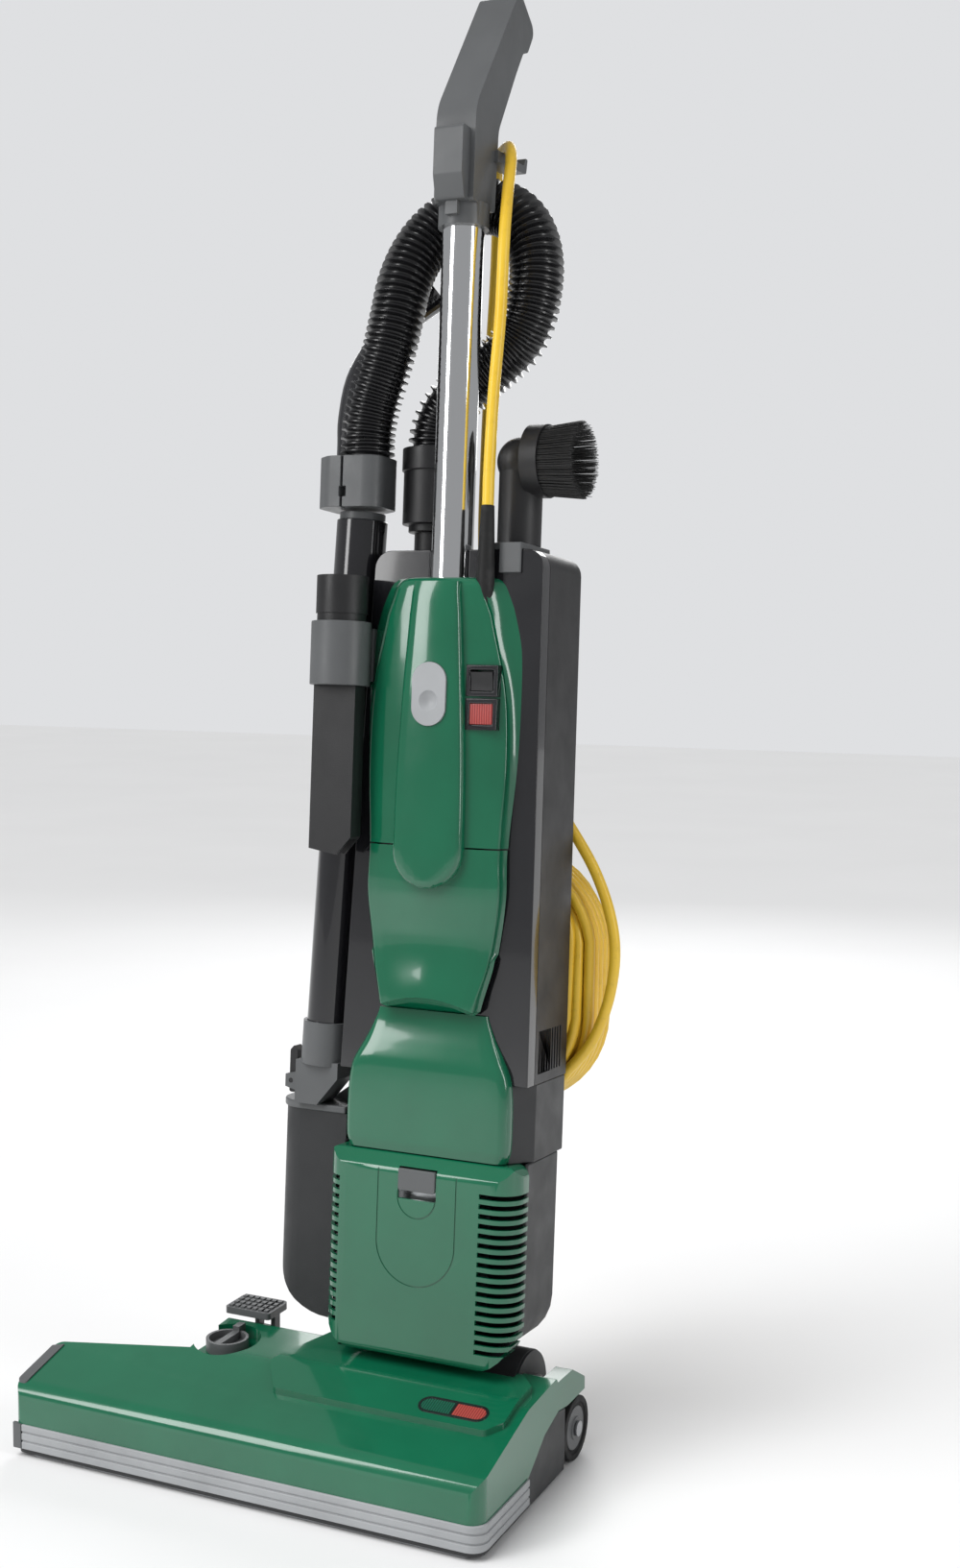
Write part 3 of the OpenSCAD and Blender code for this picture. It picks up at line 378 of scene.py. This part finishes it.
def soften(node, width):
    """Stands for a CAD node with its sharp edges rounded to width millimetres."""
    source = NODES[node]
    mesh = source.data.copy()
    bm = bmesh.new()
    bm.from_mesh(mesh)
    bmesh.ops.remove_doubles(bm, verts=bm.verts, dist=WELD)
    bmesh.ops.dissolve_limit(bm, angle_limit=FLAT_ANGLE, verts=bm.verts, edges=bm.edges)
    bm.to_mesh(mesh)
    bm.free()
    obj = new_object(node + "_body", mesh, source["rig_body"], SLOTS[node], [node])
    bevel = obj.modifiers.new("bevel", "BEVEL")
    bevel.width = width * MM
    bevel.segments = 3
    bevel.limit_method = "ANGLE"
    bevel.angle_limit = BEVEL_ANGLE
    bevel.use_clamp_overlap = True
    bevel.miter_outer = "MITER_ARC"
    weighted = obj.modifiers.new("weighted", "WEIGHTED_NORMAL")
    weighted.keep_sharp = True
    obj.data.polygons.foreach_set("use_smooth", [True] * len(obj.data.polygons))
    apply_modifiers(obj)
    shade_smooth(obj)
    return obj


def skin(name, rings):
    """A capped mesh over rings of equally many points."""
    count = len(rings[0])
    verts = [p for ring in rings for p in ring]
    faces = []
    for i in range(len(rings) - 1):
        a, b = i * count, (i + 1) * count
        faces += [(a + k, a + (k + 1) % count, b + (k + 1) % count, b + k) for k in range(count)]
    faces.append(tuple(reversed(range(count))))
    faces.append(tuple(range(len(verts) - count, len(verts))))
    return closed_mesh(name, verts, faces)


def loft(name, rings, body, slot, replaced=(), angle=38):
    """A shown skin over rings, given in the row frame in metres."""
    obj = new_object(name, skin(name, rings), body, slot, replaced)
    shade_smooth(obj, angle)
    return obj


def spline(a, b, c, d, t):
    """A share t of the way from b to c, on the smooth curve through a, b, c and d."""
    return (2 * b + (c - a) * t + (2 * a - 5 * b + 4 * c - d) * t ** 2
            + (3 * b - a - 3 * c + d) * t ** 3) / 2


def smooth_route(points, steps):
    """A smooth curve through a route's points, with steps pieces between each two."""
    p = [Vector(v) for v in points]
    last = len(p) - 1
    out = []
    for i in range(last):
        a, b, c, d = p[max(i - 1, 0)], p[i], p[i + 1], p[min(i + 2, last)]
        out += [spline(a, b, c, d, j / steps) for j in range(steps)]
    return out + [p[last]]


def evenly(points, step):
    """The same line with its points step apart."""
    out, left = [points[0]], step
    for a, b in zip(points, points[1:]):
        length = (b - a).length
        done = 0.0
        while length - done >= left:
            done += left
            out.append(a.lerp(b, done / length))
            left = step
        left -= length - done
    return out


def length_of(points):
    return sum((b - a).length for a, b in zip(points, points[1:]))


def rings_along(points, radius, sides):
    """Circles square to a line, carried along it without twisting. radius is a function of the index."""
    across = Vector((1, 0, 0))
    rings = []
    for i, point in enumerate(points):
        way = (points[min(i + 1, len(points) - 1)] - points[max(i - 1, 0)]).normalized()
        across = (across - way * across.dot(way)).normalized()
        side = way.cross(across)
        r = radius(i)
        turns = [2 * math.pi * k / sides for k in range(sides)]
        rings.append([point + (across * math.cos(a) + side * math.sin(a)) * r for a in turns])
    return rings


# ------------------------------------------------------------------ cord and hose

HOSE_D = 43
FIN_PITCH = 5.6
FIN_HEIGHT = 4
CORD_D = 9
HOSE_ROUTE = [
    (17.5, 42, 780), (17.5, 42, 788), (17.5, 42, 797), (19, 42, 810), (22.5, 42, 826), (28, 42, 844),
    (33.5, 43, 866), (37, 46.5, 891), (39.5, 52, 917), (45, 61, 941), (55, 71, 961), (70, 80, 975.5),
    (88, 86, 982), (106, 88.5, 979.5), (122, 88, 968.5), (133, 86.5, 951), (138, 84.5, 930),
    (137.5, 82.8, 908), (134, 81.9, 889), (126, 81.5, 873), (113, 80, 860), (98, 79, 849),
    (86, 78, 839.5), (76.5, 77, 831), (69.5, 76.2, 823), (64.3, 75.6, 814.5), (61.1, 75.2, 804.8),
    (60, 75, 795), (60, 75, 785), (60, 75, 775), (60, 75, 760)]
CORD_ROUTE = [
    (132, 22, 738), (132, 22, 750), (132, 22, 764), (133, 23, 820), (135, 26, 880), (134, 30, 935),
    (131, 40, 975), (127, 53, 1004), (119, 67, 1020), (108, 81, 1023), (96, 95, 1020), (90, 110, 1005),
    (87, 119, 975), (86, 121, 930), (85, 119, 860), (85, 117, 790), (87, 114, 720), (93, 113, 665),
    (105, 114, 610), (128, 115, 560), (160, 117, 510),
    (192, 120, 460), (208, 122, 412), (207, 122, 368), (194, 120, 328),
    (172, 119.5, 300)]
TAIL_ROUTE = [(139, 119.5, 435), (146, 119.5, 426), (150, 120, 412), (149, 121.5, 399), (146, 123, 388)]

COIL_X, COIL_LOW, COIL_HIGH = 112, 345, 395
COIL_RADII = [75.5, 66.5, 57.5, 48.5]
COIL_LAYERS = [119.5 + CORD_D * k for k in range(6)]
COIL_LAST = 60
# Each turn keeps its place for the first share of its way round, and moves to the next one's in the rest
CHANGE_FROM, CHANGE_OVER = 0.7, 0.3


def coil_points(first, last):
    """Turns over both rear hooks, wound clockwise from the first angle to the last, in degrees.
    Each column of turns runs through all the layers, and the next one comes back."""
    slots = []
    for k, radius in enumerate(COIL_RADII):
        layers = COIL_LAYERS if k % 2 == 0 else COIL_LAYERS[::-1]
        slots += [(radius, y) for y in layers]
    sweep = (first - last) % 360 + 360 * (len(slots) - 1)
    count = int(sweep / 360 * 40)
    points = []
    for i in range(count + 1):
        done = sweep * i / count
        turn, part = int(done // 360), done % 360 / 360
        here, after = slots[turn], slots[min(turn + 1, len(slots) - 1)]
        shift = max(0.0, (part - CHANGE_FROM) / CHANGE_OVER)
        shift = shift * shift * (3 - 2 * shift)
        radius = here[0] + (after[0] - here[0]) * shift
        y = here[1] + (after[1] - here[1]) * shift
        angle = math.radians(first - done)
        centre = COIL_HIGH if math.sin(angle) > 0 else COIL_LOW
        points.append(Vector((COIL_X + radius * math.cos(angle), y, centre + radius * math.sin(angle))))
    return points


def make_cord():
    x, _, z = CORD_ROUTE[-1]
    start = math.degrees(math.atan2(z - COIL_LOW, x - COIL_X))
    route = smooth_route(CORD_ROUTE, 8)
    points = route[:-1] + coil_points(start, COIL_LAST) + smooth_route(TAIL_ROUTE, 4)[1:]
    points = [leaned(p) for p in points]
    curve = bpy.data.curves.new("mains_cord", "CURVE")
    curve.dimensions = "3D"
    curve.bevel_depth = CORD_D / 2 * MM
    curve.bevel_resolution = 4
    spline = curve.splines.new("POLY")
    spline.points.add(len(points) - 1)
    for target, point in zip(spline.points, points):
        target.co = (*point, 1)
        target.radius = 1
    spline.use_smooth = True
    curve.materials.append(FINISHES["cord_yellow"])
    cord = linked("mains_cord", curve)
    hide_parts("power_cord", "cord_coil")
    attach(cord, "upright")
    return cord, length_of(points), points[0]


def make_hose():
    """Ribbed hose: thin fins on a narrower wall."""
    fin, root = HOSE_D / 2, HOSE_D / 2 - FIN_HEIGHT
    profile = [root, root, root + 0.6, fin, fin, root + 0.6]
    steps = len(profile)
    line = evenly([leaned(p) for p in smooth_route(HOSE_ROUTE, 12)], FIN_PITCH / steps * MM)
    rings = rings_along(line, lambda i: profile[i % steps] * MM, 32)
    hose = loft("ribbed_hose", rings, "upright", "hose_black", ["suction_hose"], angle=60)


# ------------------------------------------------------------------ front covers

def between(table, z):
    """A value read off a short table of heights and values, with a smooth curve through them."""
    heights = [row[0] for row in table]
    z = min(max(z, heights[0]), heights[-1])
    i = max(k for k in range(len(table) - 1) if heights[k] <= z)
    t = (z - heights[i]) / (heights[i + 1] - heights[i])
    near = [table[min(max(k, 0), len(table) - 1)][1] for k in range(i - 1, i + 3)]
    return spline(*near, t)


# The green covers, in millimetres. An EDGE table has rows of height and half width, and
# BULGE_FRONT has rows of height and distance back
CROWN_Y, CROWN_R = 11, 218
COVER_TOP, DOOR_FOOT, BULGE_FOOT = 684, 353, 244
SEAM_LOW, SEAM_HIGH = 479.4, 480.6
COVER_CORNER = 3.5
FRONT_EDGE = [(352, 39), (392, 49), (440, 55.5), (480, 55), (540, 58), (597, 55.5), (655, 43), (684, 33)]
BASE_EDGE = [(352, 41), (392, 51.5), (440, 57.5), (480, 57.5), (540, 62.5), (585, 64), (630, 63),
             (660, 56), (684, 47)]
SPINE_EDGE = [(477, 29), (540, 28), (600, 25), (655, 21.5), (684, 19)]
SPINE_FOOT, SPINE_TOP, SPINE_CENTRE, SPINE_R = 448, 682, 477, 29
BULGE_EDGE = [(BULGE_FOOT, 66.5), (252, 69), (288, 69), (308, 66.5), (322, 60), (336, 52.5), (DOOR_FOOT, 46)]
BULGE_FRONT = [(BULGE_FOOT, 20.5), (251, 19), (300, 19), (314, 19.6), (328, 22.6), (340, 25.6),
               (DOOR_FOOT, 27)]
BUTTON_HOLE = (595, 48.6, 28.6)
SWITCH_X, SWITCH_Z, LAMP_Z = (123.4, 149.6), (594.1, 617.9), (569.1, 592.9)


def crown(x):
    return CROWN_Y + CROWN_R - math.sqrt(CROWN_R ** 2 - x ** 2)


def cover_section(z, back, shrink=0.0, sink=0.0):
    """One level section of the green front covers, as (x, y) from the left base to the right base."""
    front, base = between(FRONT_EDGE, z) - shrink, between(BASE_EDGE, z) - shrink
    edge = crown(front) + sink
    half = []
    for k in range(7):
        t = k / 7
        bow = 1.6 * math.sin(math.pi * t)
        half.append((base + (front - base) * t - bow, back + (edge - back) * t))
    for k in range(5):
        a = math.radians(90 * k / 4)
        half.append((front - COVER_CORNER * (1 - math.cos(a)), edge + COVER_CORNER * (1 - math.sin(a)) * 0.8))
    across = front - COVER_CORNER
    half += [(x, crown(x) + sink) for x in (across * (1 - (k + 1) / 10) for k in range(9))]
    left = [(-x, y) for x, y in half]
    return left + [(0, CROWN_Y + sink)] + half[::-1]


def rounded_end(z, end, radius):
    """How far a section draws in within radius of an end."""
    t = max(0.0, radius - abs(end - z))
    return radius - math.sqrt(max(radius ** 2 - t ** 2, 0))


def cut(obj, cutters):
    """Cuts closed shapes out of obj and works the result in."""
    for cutter in cutters:
        modifier = obj.modifiers.new("cut", "BOOLEAN")
        modifier.operation = "DIFFERENCE"
        modifier.object = cutter
        modifier.solver = "EXACT"
    apply_modifiers(obj)
    shade_smooth(obj, 30)
    for cutter in cutters:
        bpy.data.objects.remove(cutter)


def block_cutter(name, low, high):
    corners = [(x, y, z) for x in (low[0], high[0]) for y in (low[1], high[1]) for z in (low[2], high[2])]
    mesh = bpy.data.meshes.new(name)
    faces = [(0, 1, 3, 2), (4, 6, 7, 5), (0, 4, 5, 1), (2, 3, 7, 6), (0, 2, 6, 4), (1, 5, 7, 3)]
    mesh.from_pydata([leaned(c) for c in corners], [], faces)
    return linked(name, mesh)


def pill_outline(x, z, length, width, count=14):
    """Upright pill, as (x, z) points."""
    reach = (length - width) / 2
    out = []
    for k in range(2 * count + 2):
        a = math.pi * (k if k <= count else k - 1) / count
        lift = reach if k <= count else -reach
        out.append((x + width / 2 * math.cos(a), z + lift + width / 2 * math.sin(a)))
    return out


def button_cutter(name):
    """The oval button's hole, through the front of the panel and its spine."""
    outline = pill_outline(MIDDLE_X, *BUTTON_HOLE)
    return linked(name, skin(name, [[leaned((x, y, z)) for x, z in outline] for y in (-5, 24)]))


def window_cutter(name, across, heights):
    return block_cutter(name, (across[0], 0, heights[0]), (across[1], 24, heights[1]))


def make_panel():
    low, high, round_top = SEAM_HIGH, COVER_TOP, 9
    heights = [low + (high - round_top - low) * k / 30 for k in range(31)]
    heights += [high - round_top + round_top * math.sin(math.radians(90 * k / 6)) for k in range(1, 7)]
    rings = []
    for z in heights:
        draw = rounded_end(z, high, round_top)
        rings.append([leaned((MIDDLE_X + x, y, z)) for x, y in cover_section(z, 30, draw * 0.9, draw)])
    panel = loft("control_panel_body", rings, "upright", "green_shell", ["control_panel"], angle=30)
    cut(panel, [
        button_cutter("button_cut"),
        window_cutter("switch_cut", SWITCH_X, SWITCH_Z),
        window_cutter("lamp_cut", SWITCH_X, LAMP_Z),
    ])


def make_spine():
    """Raised spine round the foot of the handle tube."""
    heights = [SPINE_FOOT + 36 * (1 - math.cos(math.radians(90 * k / 10))) for k in range(1, 11)]
    heights += [SPINE_FOOT + 36 + 196 * k / 24 for k in range(1, 25)]
    rings = []
    for z in heights:
        if z < SPINE_CENTRE:
            half = math.sqrt(max(SPINE_R ** 2 - (SPINE_CENTRE - z) ** 2, 1))
        else:
            half = between(SPINE_EDGE, z)
        top = 4.2 + 0.012 * max(0, z - 600) + rounded_end(z, SPINE_TOP, 6)
        top += rounded_end(z, SPINE_FOOT, 5) * 0.8
        depth = 16
        edge = min(5.5, half * 0.6)
        ring = [(-half, depth), (-half, top + edge)]
        ring += [(-half + edge * (1 - math.cos(a)), top + edge * (1 - math.sin(a)))
                 for a in map(math.radians, (25, 50, 75))]
        ring += [(x, top + 1.6 * (x / half) ** 2 - 1.2)
                 for x in (-half * 0.6, -half * 0.3, 0, half * 0.3, half * 0.6)]
        ring += [(-x, y) for x, y in ring[:5]][::-1]
        rings.append([leaned((MIDDLE_X + x, y, z)) for x, y in ring])
    spine = loft("panel_spine", rings, "upright", "green_shell", angle=40)
    cut(spine, [button_cutter("spine_cut")])


def make_door():
    """Shield-shaped door with an arched finger notch along its lower edge."""
    rings = []
    for k in range(33):
        t = k / 32
        nominal = DOOR_FOOT + (SEAM_LOW - DOOR_FOOT) * t
        draw = rounded_end(nominal, DOOR_FOOT, 5) * 0.8
        ring = []
        dish = 4 * math.sin(math.pi * min(1, t / 0.8)) ** 2
        for x, y in cover_section(nominal, 24.5 if nominal < 400 else 29, draw, draw + dish):
            arch = max(0.0, 9 * (1 - (x / 38) ** 2)) * (1 - t) ** 3
            ring.append(leaned((MIDDLE_X + x, y, nominal + arch)))
        rings.append(ring)
    loft("filter_door_body", rings, "filter_door", "green_shell", ["filter_door"], angle=30)


def make_bulge():
    """Cover over the motor duct: full below, drawn in to a smooth waist under the door."""
    rings = []
    for k in range(37):
        z = BULGE_FOOT + (DOOR_FOOT - BULGE_FOOT) * k / 36
        half, front = between(BULGE_EDGE, z), between(BULGE_FRONT, z)
        corner = min(8, 30 - front)
        side = [(half, 30), (half, front + corner)]
        side += [(half - corner * (1 - math.cos(a)), front + corner * (1 - math.sin(a)))
                 for a in map(math.radians, (15, 30, 45, 60, 75, 90))]
        across = half - corner
        face = [(across * (1 - j / 6), front) for j in range(1, 12)]
        ring = side + face + [(-x, y) for x, y in side[::-1]]
        rings.append([leaned((MIDDLE_X + x, y, z)) for x, y in ring])
    loft("bulge_cover_body", rings, "upright", "green_shell", ["bulge_cover"], angle=30)


# ------------------------------------------------------------------ brush bristles

def tufts(name, roots, tips, radius, body, slot, replaced):
    """Many thin tapered bristles, one from each root to its tip."""
    verts, faces = [], []
    for root, tip in zip(roots, tips):
        way = (tip - root).normalized()
        across = way.orthogonal().normalized()
        side = way.cross(across)
        first = len(verts)
        for point, r in ((root, radius), (tip, radius * 0.45)):
            verts += [point + (across * math.cos(a) + side * math.sin(a)) * r
                      for a in (0, 2 * math.pi / 3, 4 * math.pi / 3)]
        faces += [(first + k, first + (k + 1) % 3, first + 3 + (k + 1) % 3, first + 3 + k) for k in range(3)]
        faces += [(first + 2, first + 1, first), (first + 3, first + 4, first + 5)]
    mesh = bpy.data.meshes.new(name)
    mesh.from_pydata(verts, [], faces)
    return new_object(name, mesh, body, slot, replaced)


DUSTER_ROOT_X, DUSTER_Y, DUSTER_Z = 163.5, 62, 776
BRUSH_AXIS = Vector((0, -52, 24))
BELT_X, BELT_CLEAR, BAR_CLEAR = -80, 11.5, 5


def make_duster_bristles():
    rng = random.Random(7)
    roots, tips = [], []
    for ring in range(6):
        radius = 20.3 + 1.15 * ring
        count = int(radius * 4.6)
        for k in range(count):
            a = 2 * math.pi * (k + 0.5 * (ring % 2)) / count + rng.uniform(-0.02, 0.02)
            flare = 3.2 + rng.uniform(-1.0, 0.6)
            reach = 29.5 + rng.uniform(-2.2, 0.3)
            y, z = math.cos(a), math.sin(a)
            wide = radius + flare
            roots.append(leaned((DUSTER_ROOT_X, DUSTER_Y + radius * y, DUSTER_Z + radius * z)))
            tips.append(leaned((DUSTER_ROOT_X + 0.5 + reach, DUSTER_Y + wide * y, DUSTER_Z + wide * z)))
    tufts("duster_bristles", roots, tips, 0.55 * MM, "duster", "bristle", ["dusting_bristles"])


def make_brush_bristles():
    """Dense tufts in two spiral rows, clear of the belt and of the sole plate's bars."""
    rng = random.Random(3)
    roots, tips = [], []
    for row in range(2):
        for i in range(71):
            x = -176 + 5 * i
            over_bar = any(abs(x + 109.5 - 73 * k) < BAR_CLEAR for k in range(4))
            if abs(x - BELT_X) < BELT_CLEAR or over_bar:
                continue
            for _ in range(12):
                turn = 180 * row + 1.6 * (x + 175) + rng.uniform(-6, 6)
                a = math.radians(turn)
                out = Vector((0, -math.sin(a), math.cos(a)))
                at = Vector((x + rng.uniform(-1.8, 1.8), 0, 0)) + BRUSH_AXIS
                roots.append(level(at + out * 12))
                tips.append(level(at + out * 22.9 + Vector((rng.uniform(-1, 1), 0, 0))))
    tufts("brush_roll_bristles", roots, tips, 0.35 * MM, "brush_roll", "bristle", ["brush_bristles"])


# ------------------------------------------------------------------ assembly

# How wide each node's sharp edges are rounded, in millimetres. The other nodes are drawn anew or
# shown as they are
EDGES = {
    "head_cover": 3.0, "head_chassis": 1.0, "rear_carriage": 1.0, "bumper": 1.0, "left_end_trim": 0.8,
    "indicator_frame": 0.3, "green_lens": 0.3, "red_lens": 0.3, "height_knob": 0.8, "release_pedal": 0.6,
    "left_wheel_hub": 1.2,
    "left_tyre": 2.2, "right_wheel_hub": 1.2, "right_tyre": 2.2, "neck_yoke": 1.5, "lower_housing": 5.0,
    "side_duct": 4.0, "duct_lid": 1.6, "dock_socket": 1.0, "dock_lever": 0.8, "mid_frame": 1.6,
    "bag_shell_front": 4.0, "bag_shell_rear": 2.2, "hose_cuff": 1.2, "pole_tube": 0.3,
    "handle_grip": 6.0, "rear_cord_hooks": 1.2, "switch_bezels": 0.8, "switch_rocker": 0.6, "lamp_lens": 0.6,
    "tube_button": 1.6, "strain_relief": 0.8, "motor_cover": 0.9, "cover_latch": 0.6, "wand_tube": 0.8,
    "wand_collar": 1.6, "tool_holders": 1.0, "crevice_tool": 1.4, "dusting_brush": 1.2, "cord_plug": 1.4,
    "sole_plate": 0.4,
}


def main():
    set_camera()
    for name, obj in NODES.items():
        obj.data.materials.clear()
        obj.data.materials.append(finish_of(name))
    cord, cord_length, cord_exit = make_cord()
    make_hose()
    softened = {name: soften(name, width) for name, width in EDGES.items()}
    make_panel()
    make_spine()
    make_door()
    make_bulge()
    make_duster_bristles()
    make_brush_bristles()
    set_studio()


main()
